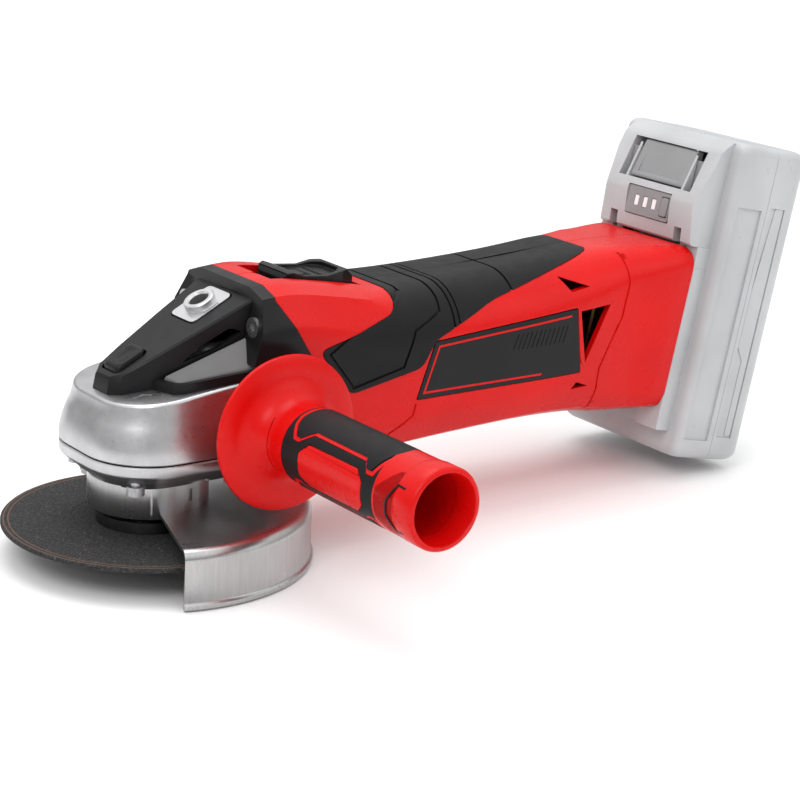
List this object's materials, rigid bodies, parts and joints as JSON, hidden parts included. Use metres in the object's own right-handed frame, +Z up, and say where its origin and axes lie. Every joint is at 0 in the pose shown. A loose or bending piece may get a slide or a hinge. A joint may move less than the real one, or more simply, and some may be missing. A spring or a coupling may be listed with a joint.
{
  "type": "angle grinder",
  "caption": "Cordless angle grinder with cutting disc, guard, screw-in side handle, slide switch, spindle lock and slide-on battery pack.",
  "frame": {"origin": "centre of the spindle's free end face", "axes": "+Z up the spindle towards the gear housing, +X from the head to the battery pack, the side handle points along -Y"},
  "size_m": [0.3759, 0.2111, 0.1522],
  "materials": {
    "red_plastic": "satin moulded",
    "black_plastic": "fine texture",
    "black_rubber": "matte",
    "grey_plastic": "brushed dark grey",
    "cast_aluminium": "satin cast",
    "bright_metal": "fine blasted",
    "guard_steel": "brushed plated",
    "machine_steel": "machined",
    "dark_steel": "blackened",
    "screw_steel": "zinc, darkened",
    "abrasive": "resin bonded grit",
    "copper_wire": "lacquered copper",
    "brass_parts": "stamped",
    "magnet_grey": "ceramic",
    "carbon": "pressed carbon",
    "board_green": "lacquered",
    "pale_plastic": "frosted pale grey",
    "panel_grey": "satin",
    "cell_wrap": "shrink wrap"
  },
  "bodies": {
    "frame": {"bearing_flange": "cast_aluminium", "flange_gasket": "black_rubber", "flange_screws": "screw_steel", "bearing_retainer": "machine_steel", "lower_bearing": "machine_steel", "upper_bearing": "machine_steel", "gear_housing": "cast_aluminium", "top_cover": "black_plastic", "air_guide": "grey_plastic", "handle_insert": "bright_metal", "adapter_frame": "black_plastic", "adapter_screws": "screw_steel", "lock_spring": "machine_steel", "front_bearing": "machine_steel", "rear_bearing": "machine_steel", "motor_can": "machine_steel", "motor_magnets": "magnet_grey", "brush_holders": "brass_parts", "carbon_brushes": "carbon", "housing_left": "red_plastic", "housing_right": "red_plastic", "housing_screws": "screw_steel", "grip_left": "black_rubber", "grip_right": "black_rubber", "side_plates": "black_plastic", "switch_module": "black_plastic", "controller_board": "board_green", "terminal_block": "black_plastic", "terminal_blades": "brass_parts"},
    "spindle_line": {"spindle": "machine_steel", "crown_gear": "machine_steel", "gear_key": "machine_steel", "inner_flange": "dark_steel", "cutting_disc": "abrasive", "clamp_nut": "dark_steel"},
    "armature": {"armature_shaft": "machine_steel", "armature_core": "machine_steel", "armature_windings": "copper_wire", "commutator": "copper_wire", "fan": "black_plastic", "pinion": "machine_steel"},
    "guard_body": {"guard": "guard_steel", "guard_clamp_screw": "screw_steel"},
    "lock": {"lock_button": "black_plastic", "lock_pin": "machine_steel"},
    "switch": {"switch_slider": "black_plastic", "switch_rod": "black_plastic"},
    "washer": {"handle_washer": "machine_steel"},
    "side_handle": {"handle_core": "red_plastic", "handle_grip": "black_rubber", "handle_stud": "machine_steel"},
    "pack": {"pack_front": "pale_plastic", "pack_rear": "pale_plastic", "pack_cells": "cell_wrap", "cell_holder": "black_plastic", "pack_board": "board_green", "gauge_panel": "panel_grey", "pack_screws": "screw_steel"},
    "latch": {"pack_latch": "pale_plastic"},
    "gauge": {"gauge_button": "panel_grey"}
  },
  "joints": [
    {"name": "spindle_spin", "type": "hinge", "parent": "frame", "child": "spindle_line", "pos_m": [0, 0, 0.011], "axis": [0, 0, 1], "continuous": true},
    {"name": "armature_spin", "type": "hinge", "parent": "frame", "child": "armature", "pos_m": [0.03, 0, 0.066], "axis": [1, 0, 0], "continuous": true},
    {"name": "guard_swivel", "type": "hinge", "parent": "frame", "child": "guard_body", "pos_m": [0, 0, 0.022], "axis": [0, 0, 1], "range_deg": [-90, 120]},
    {"name": "lock_press", "type": "slide", "parent": "frame", "child": "lock", "axis": [0, 0, -1], "range_m": [0, 0.004], "stiffness_N_per_m": 400, "springref_m": -0.004, "deforming": ["lock_spring"]},
    {"name": "switch_slide", "type": "slide", "parent": "frame", "child": "switch", "axis": [-0.9859, 0, 0.1676], "range_m": [0, 0.007], "stiffness_N_per_m": 200, "springref_m": -0.005},
    {"name": "handle_travel", "type": "slide", "parent": "frame", "child": "washer", "axis": [0, -1, 0], "range_m": [0, 0.01301]},
    {"name": "handle_turn", "type": "hinge", "parent": "washer", "child": "side_handle", "pos_m": [0.0322, -0.034, 0.0569], "axis": [0, -1, 0], "range_deg": [0, 3744]},
    {"name": "pack_slide", "type": "slide", "parent": "frame", "child": "pack", "axis": [0.1942, 0, 0.981], "range_m": [0, 0.085]},
    {"name": "latch_press", "type": "slide", "parent": "pack", "child": "latch", "axis": [0.981, 0, -0.1942], "range_m": [0, 0.004], "stiffness_N_per_m": 500, "springref_m": -0.004},
    {"name": "gauge_press", "type": "slide", "parent": "pack", "child": "gauge", "axis": [0.981, 0, -0.1942], "range_m": [0, 0.001], "stiffness_N_per_m": 400, "springref_m": -0.002}
  ],
  "couplings": [
    {"joint": "armature_spin", "follows": "spindle_spin", "ratio": 3.3636},
    {"joint": "handle_travel", "follows": "handle_turn", "m_per_rad": 0.00019894}
  ]
}
